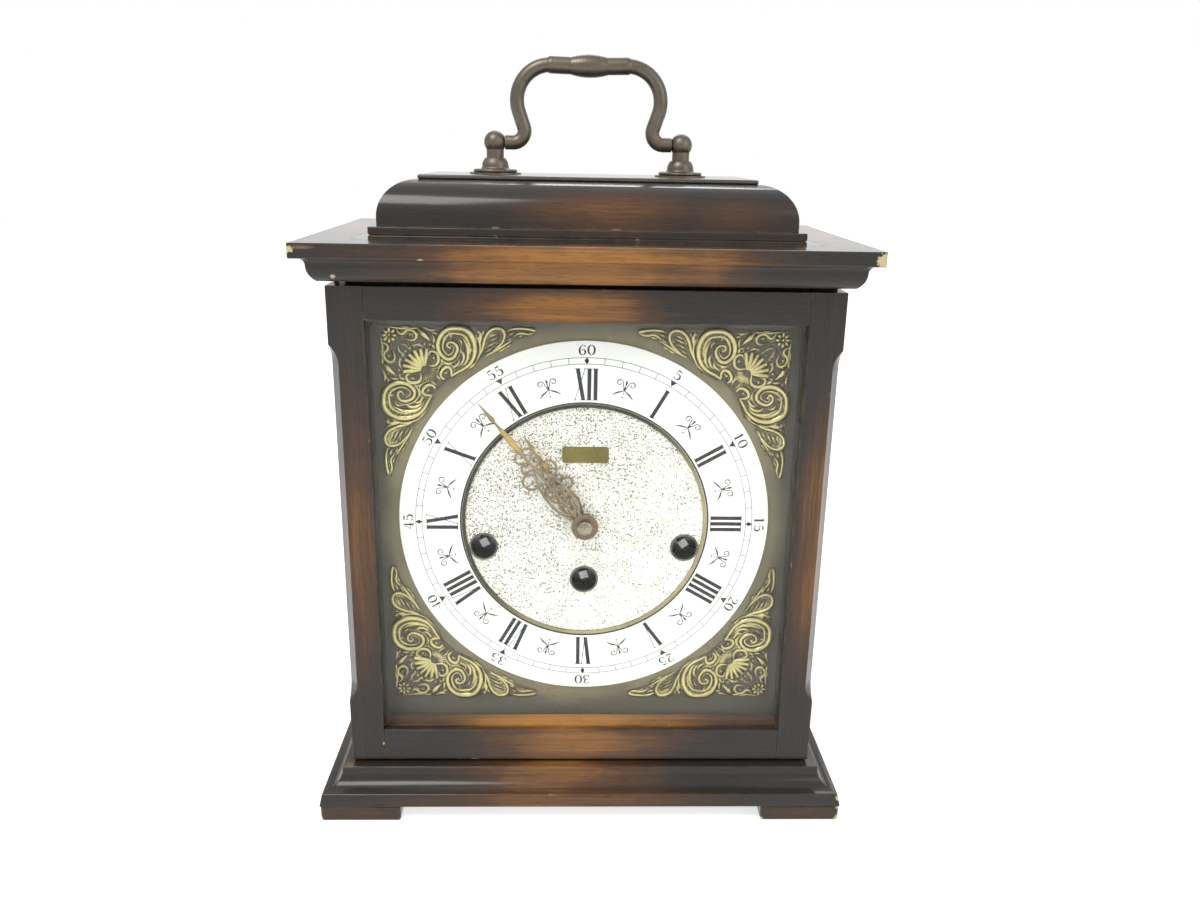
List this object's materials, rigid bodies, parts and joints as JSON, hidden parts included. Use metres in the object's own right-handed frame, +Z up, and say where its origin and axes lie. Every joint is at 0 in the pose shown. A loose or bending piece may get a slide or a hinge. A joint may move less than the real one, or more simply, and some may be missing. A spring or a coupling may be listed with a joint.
{
  "type": "table clock",
  "caption": "Wooden table clock with glazed front door, brass dial, carrying handle, chime movement and rear door.",
  "frame": {"origin": "centre of the bounding box's footprint, on the plane that the feet stand on", "axes": "+Z up, -Y out of the dial towards the person who reads it, +X to that person's right"},
  "size_m": [0.25, 0.152, 0.3515],
  "materials": {
    "walnut": "satin",
    "walnut_inner": "matte",
    "handle_bronze": "satin",
    "dial_patina": "matte",
    "ring_white": "satin",
    "brass": "polished",
    "spandrel_brass": "satin",
    "hand_brass": "satin",
    "steel": "satin",
    "dark_steel": "satin",
    "iron": "matte",
    "glass": "polished"
  },
  "bodies": {
    "case": {"base_board": "walnut_inner", "base_mouldings": "walnut", "feet": "walnut", "case_sides": "walnut", "seat_board": "walnut_inner", "top_board": "walnut_inner", "cornice_mouldings": "walnut", "bell_mouldings": "walnut", "bell_top_panel": "walnut", "handle_posts": "handle_bronze", "handle_nuts": "steel", "dial_battens": "walnut_inner", "dial_plate": "dial_patina", "chapter_ring": "ring_white", "dial_centre": "dial_patina", "dial_ring": "brass", "corner_spandrels": "spandrel_brass", "dial_plaque": "spandrel_brass", "winding_bushes": "dark_steel", "dial_posts": "brass", "front_plate": "brass", "back_plate": "brass", "plate_pillars": "brass", "pillar_nuts": "steel", "movement_brackets": "steel", "winding_clicks": "steel", "balance_cock": "brass", "chime_rods": "steel", "rod_block": "iron", "hammer_shaft": "steel", "back_hinge_case_leaves": "brass"},
    "front_door": {"door_stiles": "walnut", "door_rails": "walnut", "door_glass": "glass", "glass_beads": "walnut", "door_pivots": "steel"},
    "rear_door": {"back_door": "walnut_inner", "back_hinge_door_leaves": "brass", "back_door_knob": "brass"},
    "handle": {"handle_bail": "handle_bronze"},
    "minute_work": {"minute_hand": "hand_brass", "hand_nut": "steel", "cannon_pinion": "brass", "centre_wheel": "brass"},
    "hour_work": {"hour_hand": "hand_brass", "hour_wheel": "brass"},
    "minute_wheel_body": {"minute_wheel": "brass"},
    "intermediate_body": {"intermediate_wheel": "brass"},
    "third_body": {"third_wheel": "brass"},
    "time_barrel_body": {"time_barrel": "brass"},
    "strike_barrel_body": {"strike_barrel": "brass"},
    "chime_barrel_body": {"chime_barrel": "brass"},
    "time_arbor_body": {"time_winding_arbor": "steel"},
    "strike_arbor_body": {"strike_winding_arbor": "steel"},
    "chime_arbor_body": {"chime_winding_arbor": "steel"},
    "balance_body": {"balance_wheel": "brass"},
    "hammer_1_body": {"chime_hammer_1": "iron"},
    "hammer_2_body": {"chime_hammer_2": "iron"},
    "hammer_3_body": {"chime_hammer_3": "iron"},
    "hammer_4_body": {"chime_hammer_4": "iron"}
  },
  "joints": [
    {"name": "front_door_hinge", "type": "hinge", "parent": "case", "child": "front_door", "pos_m": [-0.1053, -0.0515, 0.14], "axis": [0, 0, -1], "range_deg": [0, 95]},
    {"name": "rear_door_hinge", "type": "hinge", "parent": "case", "child": "rear_door", "pos_m": [0.0987, 0.0743, 0.14], "axis": [0, 0, -1], "range_deg": [0, 110]},
    {"name": "handle_swing", "type": "hinge", "parent": "case", "child": "handle", "pos_m": [0, 0, 0.3127], "axis": [1, 0, 0], "range_deg": [-100, 100]},
    {"name": "minute_hand_turn", "type": "hinge", "parent": "case", "child": "minute_work", "pos_m": [0, -0.045, 0.1421], "axis": [0, 1, 0], "continuous": true},
    {"name": "hour_hand_turn", "type": "hinge", "parent": "case", "child": "hour_work", "pos_m": [0, -0.045, 0.1421], "axis": [0, 1, 0], "continuous": true},
    {"name": "minute_wheel_turn", "type": "hinge", "parent": "case", "child": "minute_wheel_body", "pos_m": [0.006, -0.034, 0.15249], "axis": [0, 1, 0], "continuous": true},
    {"name": "intermediate_wheel_turn", "type": "hinge", "parent": "case", "child": "intermediate_body", "pos_m": [0.01655, 0, 0.13501], "axis": [0, 1, 0], "continuous": true},
    {"name": "third_wheel_turn", "type": "hinge", "parent": "case", "child": "third_body", "pos_m": [-0.00719, 0, 0.15752], "axis": [0, 1, 0], "continuous": true},
    {"name": "time_barrel_turn", "type": "hinge", "parent": "case", "child": "time_barrel_body", "pos_m": [0, 0, 0.1133], "axis": [0, 1, 0], "continuous": true},
    {"name": "strike_barrel_turn", "type": "hinge", "parent": "case", "child": "strike_barrel_body", "pos_m": [-0.0475, 0, 0.1298], "axis": [0, 1, 0], "continuous": true},
    {"name": "chime_barrel_turn", "type": "hinge", "parent": "case", "child": "chime_barrel_body", "pos_m": [0.0475, 0, 0.1298], "axis": [0, 1, 0], "continuous": true},
    {"name": "time_arbor_wind", "type": "hinge", "parent": "case", "child": "time_arbor_body", "pos_m": [0, 0, 0.1133], "axis": [0, 1, 0], "range_deg": [0, 2565]},
    {"name": "strike_arbor_wind", "type": "hinge", "parent": "case", "child": "strike_arbor_body", "pos_m": [-0.0475, 0, 0.1298], "axis": [0, 1, 0], "range_deg": [0, 2565]},
    {"name": "chime_arbor_wind", "type": "hinge", "parent": "case", "child": "chime_arbor_body", "pos_m": [0.0475, 0, 0.1298], "axis": [0, 1, 0], "range_deg": [0, 2565]},
    {"name": "balance_swing", "type": "hinge", "parent": "case", "child": "balance_body", "pos_m": [0, 0.022, 0.1736], "axis": [0, 1, 0], "range_deg": [-135, 135], "stiffness_Nm_per_rad": 0.00004},
    {"name": "hammer_1_lift", "type": "hinge", "parent": "case", "child": "hammer_1_body", "pos_m": [0.005, 0.0258, 0.0891], "axis": [0, -1, 0], "range_deg": [0, 22]},
    {"name": "hammer_2_lift", "type": "hinge", "parent": "case", "child": "hammer_2_body", "pos_m": [0.005, 0.0338, 0.0891], "axis": [0, -1, 0], "range_deg": [0, 22]},
    {"name": "hammer_3_lift", "type": "hinge", "parent": "case", "child": "hammer_3_body", "pos_m": [0.005, 0.0418, 0.0891], "axis": [0, -1, 0], "range_deg": [0, 22]},
    {"name": "hammer_4_lift", "type": "hinge", "parent": "case", "child": "hammer_4_body", "pos_m": [0.005, 0.0498, 0.0891], "axis": [0, -1, 0], "range_deg": [0, 22]}
  ],
  "couplings": [
    {"joint": "hour_hand_turn", "follows": "minute_hand_turn", "ratio": 0.083333},
    {"joint": "minute_wheel_turn", "follows": "minute_hand_turn", "ratio": -0.33333},
    {"joint": "intermediate_wheel_turn", "follows": "minute_hand_turn", "ratio": -0.2},
    {"joint": "time_barrel_turn", "follows": "minute_hand_turn", "ratio": 0.033333},
    {"joint": "third_wheel_turn", "follows": "minute_hand_turn", "ratio": -8}
  ]
}
